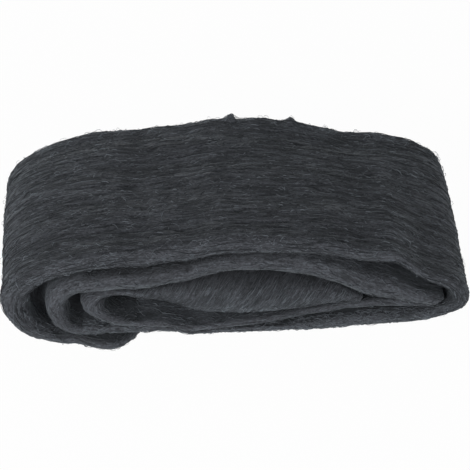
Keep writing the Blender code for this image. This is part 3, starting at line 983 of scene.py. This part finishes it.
topFibres = fibresOn("topFibres", woolBand, tree, fibre, [
    {**outside, "Count": 5500, "Seed": 11, "Steps": 5, "Length": 0.014, "Width": 0.00028,
     "Turn Spread": 0.20, "Wave": 0.022, "Waves From": 2.0, "Waves To": 6.0, "Lift": 0.0004,
     "Sink": 0.0003, "Tone To": 0.8, "Streaks": 0.35, "Streak Long": 0.025, "Streak Wide": 0.0007},
    # Dark strands that stand for the shaded gaps between the strands: painted shade
    {**outside, "Count": 1150, "Seed": 81, "Steps": 7, "Length": 0.018, "Width": 0.00042,
     "Turn Spread": 0.14, "Wave": 0.025, "Waves From": 2.0, "Waves To": 7.0, "Lift": 0.0003,
     "Base": 0.0003, "Sink": 0.0003, "Tone To": 0.05, "Streaks": 0.0},
])
fineFibres = fibresOn("fineFibres", woolBand, tree, fibre, [
    {**outside, "Count": 9400, "Seed": 211, "Steps": 4, "Length": 0.0036, "Width": 0.00040,
     "Turn Spread": 1.5, "Wave": 0.12, "Waves From": 1.5, "Waves To": 5.0, "Lift": 0.0006,
     "Sink": 0.0002, "Streaks": 0.2},
])
looseFibres = fibresOn("looseFibres", woolBand, tree, fibre, [
    {**loose, **outside, "Count": 700, "Seed": 313, "Length": 0.008, "Lift": 0.0012, "Tone To": 0.6},
    {**loose, "Count": 900, "Seed": 321, "Length": 0.008, "Along From": 0.0, "Along To": bandEnd,
     "Across From": -0.080, "Across To": -0.046, "Lift": 0.0012, "Tone To": 0.6},
    {**loose, "Count": 600, "Seed": 331, "Length": 0.008, "Along From": 0.0, "Along To": bandEnd,
     "Across From": 0.046, "Across To": 0.080, "Lift": 0.0012},
    # A tangle in the right pocket
    {**loose, **tangle, "Count": 200, "Seed": 361, "Along From": rightStart - 0.03,
     "Along To": rightStart + 0.02, "Across To": -0.074, "Lift": 0.006},
])
leftPocketFibres = fibresOn("leftPocketFibres", leftPocketWool, tree, fibre, [
    {**filling, "Count": 900, "Seed": 371},
])
innerPocketFibres = fibresOn("innerPocketFibres", innerPocketWool, tree, fibre, [
    {**filling, "Count": 700, "Seed": 381},
])
lipFibres = fibresOn("lipFibres", woolBand, tree, fibre, [
    {**lip, "Count": 2500, "Seed": 31, "Steps": 5, "Length": 0.008, "Turn Spread": 1.1, "Streaks": 0.6},
    {**lip, "Count": 2700, "Seed": 35, "Length": 0.0036, "Width": 0.00040, "Turn Spread": 1.5,
     "Wave": 0.12, "Tone From": 0.15, "Streaks": 0.3, "Crease Shade": 0.95},
    {**lip, "Count": 1300, "Seed": 41, "Steps": 6, "Length": 0.009, "Along To": bandEnd,
     "Across From": 0.048, "Across To": 0.078, "Turn Spread": 1.1, "Streaks": 0.6},
])
coreFibres = fibresOn("coreFibres", woolBand, tree, fibre, [
    {"Count": 4600, "Seed": 51, "Steps": 5, "Length": 0.0085, "Width": 0.00032,
     "Along From": coreStart + 0.01, "Along To": bandEnd, "Across From": -0.085, "Across To": -0.042,
     "Turn": 1.0, "Turn Spread": 0.28, "Wave": 0.05, "Lift": 0.0007, "Sink": 0.0002, "Streaks": 0.3,
     "Streak Long": 0.005, "Streak Wide": 0.003, "Crease Shade": 0.9},
    # The floors of the right pocket and of the hollow behind the tongue
    {**lip, "Count": 700, "Seed": 61, "Length": 0.0065, "Width": 0.00034,
     "Along From": upperStart + 0.085, "Along To": innerRightStart, "Across From": -0.052,
     "Across To": -0.030, "Turn Spread": 0.8, "Tone To": 0.7, "Crease Shade": 0.5},
    {**lip, "Count": 700, "Seed": 67, "Length": 0.0065, "Width": 0.00034,
     "Along From": lowerStart + 0.03, "Along To": tongueStart, "Across From": -0.106,
     "Across To": -0.080, "Turn Spread": 0.8, "Tone To": 0.6, "Crease Shade": 0.5},
])
rimFibres = fibresOn("rimFibres", woolBand, tree, rimLitFibre, [
    # Fuzz that softens the outline, pale as painted rim light
    {**loose, **outside, **fuzz, "Count": 350, "Seed": 317, "Along To": topStart + 0.01},
    {**loose, **outside, **fuzz, "Count": 400, "Seed": 318, "Along From": rightStart - 0.01},
    {**loose, **outside, **fuzz, "Count": 600, "Seed": 319, "Across From": 0.046},
    # The fringe of the lowest lip, pale as painted light
    {**lip, "Count": 1200, "Seed": 45, "Length": 0.0040, "Along From": bottomStart - 0.03,
     "Along To": innerLeftStart, "Across From": -0.062, "Across To": -0.052, "Turn Spread": 1.5,
     "Tone To": 0.55, "Streaks": 0.2},
    # The lower rim of the core, pale as a painted highlight and kept free of painted crease shade
    {**lip, "Count": 1400, "Seed": 57, "Length": 0.0050, "Along From": coreStart, "Along To": bandEnd,
     "Across From": -0.077, "Across To": -0.064, "Turn": 0.8, "Turn Spread": 0.6, "Streaks": 0.2,
     "Crease Shade": 0.0},
    # The tips of the lips, pale as a painted highlight
    {**lip, "Count": 900, "Seed": 63, "Length": 0.0036, "Across From": -0.062, "Across To": -0.050,
     "Turn Spread": 1.5, "Width": 0.00022, "Tone To": 0.6, "Streaks": 0.2},
])
pieces = [woolBand, leftPocketWool, innerPocketWool, rightPocketWool, hollowWool, topFibres, fineFibres,
          looseFibres, lipFibres, coreFibres, rimFibres, leftPocketFibres, innerPocketFibres]

for piece in pieces:
    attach(piece, "root")
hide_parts("steel_wool_band")
print("pieces ready,", sum(triangles(piece) for piece in pieces), "triangles in all")


# Floor, light and camera
stageLook = {
    "floorWhite": 0.95, "floorHalf": 6.0, "cameraWhite": 0.97, "worldGrey": 0.17, "lampAim": (0, 0, 0.03),
    # Place, size and power of each lamp
    "lamps": {
        "keyLamp": ((-0.76, -0.82, 0.50), 0.8, 10.4),
        "fillLamp": ((0.45, -1.00, 0.22), 1.0, 5.0),
        "backLamp": ((-0.2, 1.1, 0.18), 0.9, 7.0),
        "sideLamp": ((1.1, 0.2, 0.12), 0.3, 2.2),
    },
}


def plainFloor():
    data = bpy.data.meshes.new("floor")
    size = stageLook["floorHalf"]
    corners = [(-size, -size, 0), (size, -size, 0), (size, size, 0), (-size, size, 0)]
    data.from_pydata(corners, [], [(0, 1, 2, 3)])
    floorPiece = placeObject("floor", data)
    material = bpy.data.materials.new("floorPaper")
    material.use_nodes = True
    tree = material.node_tree
    tree.nodes.clear()
    output = addNode(tree, "ShaderNodeOutputMaterial")
    paper = addNode(tree, "ShaderNodeBsdfDiffuse")
    paper.inputs["Color"].default_value = (stageLook["floorWhite"],) * 3 + (1,)
    glow = addNode(tree, "ShaderNodeEmission")
    glow.inputs["Color"].default_value = (1, 1, 1, 1)
    path = addNode(tree, "ShaderNodeLightPath")
    seen = mathNode(tree, "MAXIMUM", path.outputs["Is Camera Ray"], path.outputs["Is Glossy Ray"])
    seen = mathNode(tree, "MAXIMUM", seen, path.outputs["Is Transmission Ray"])
    mix = addNode(tree, "ShaderNodeMixShader")
    link(mathNode(tree, "MULTIPLY", seen, stageLook["cameraWhite"]), mix.inputs[0])
    link(paper.outputs[0], mix.inputs[1])
    link(glow.outputs[0], mix.inputs[2])
    link(mix.outputs[0], output.inputs[0])
    data.materials.append(material)


def softLamp(name, place, size, power):
    lamp = bpy.data.lights.new(name, "AREA")
    lamp.shape = "DISK"
    lamp.size = size
    lamp.energy = power
    piece = placeObject(name, lamp)
    piece.location = place
    toAim = Vector(stageLook["lampAim"]) - Vector(place)
    piece.rotation_euler = toAim.to_track_quat("-Z", "Y").to_euler()


def plainWorld():
    world = bpy.data.worlds.new("studio")
    bpy.context.scene.world = world
    world.use_nodes = True
    tree = world.node_tree
    tree.nodes.clear()
    output = addNode(tree, "ShaderNodeOutputWorld")
    room = addNode(tree, "ShaderNodeBackground")
    grey = stageLook["worldGrey"]
    room.inputs["Color"].default_value = (grey, grey, grey, 1)
    white = addNode(tree, "ShaderNodeBackground")
    white.inputs["Color"].default_value = (1, 1, 1, 1)
    path = addNode(tree, "ShaderNodeLightPath")
    mix = addNode(tree, "ShaderNodeMixShader")
    link(path.outputs["Is Camera Ray"], mix.inputs[0])
    link(room.outputs[0], mix.inputs[1])
    link(white.outputs[0], mix.inputs[2])
    link(mix.outputs[0], output.inputs[0])


# Angles in degrees, focal length and shifts in pixels of the photo
photoView = {"azimuth": -3.5, "elevation": 39.5, "distance": 0.74, "focal": 1414, "pixels": 470,
             "aim": (0.0, 0.0, 0.028), "right": 2.5, "up": -6.0, "sensor": 36}


def photoCamera():
    azimuth, elevation = math.radians(photoView["azimuth"]), math.radians(photoView["elevation"])
    level = math.cos(elevation)
    back = Vector((math.sin(azimuth) * level, -math.cos(azimuth) * level, math.sin(elevation)))
    right = Vector((math.cos(azimuth), math.sin(azimuth), 0))
    up = back.cross(right)
    pixel = photoView["distance"] / photoView["focal"]
    aim = Vector(photoView["aim"]) + right * photoView["right"] * pixel + up * photoView["up"] * pixel
    data = bpy.data.cameras.new("photoCamera")
    data.sensor_width = photoView["sensor"]
    data.lens = photoView["sensor"] * photoView["focal"] / photoView["pixels"]
    data.clip_start = 0.01
    piece = placeObject("photoCamera", data)
    piece.location = aim + back * photoView["distance"]
    piece.rotation_euler = back.to_track_quat("Z", "Y").to_euler()
    bpy.context.scene.camera = piece


plainFloor()
plainWorld()
for name, (place, size, power) in stageLook["lamps"].items():
    softLamp(name, place, size, power)
photoCamera()
bpy.context.scene.view_settings.view_transform = "Standard"
print("stage ready")
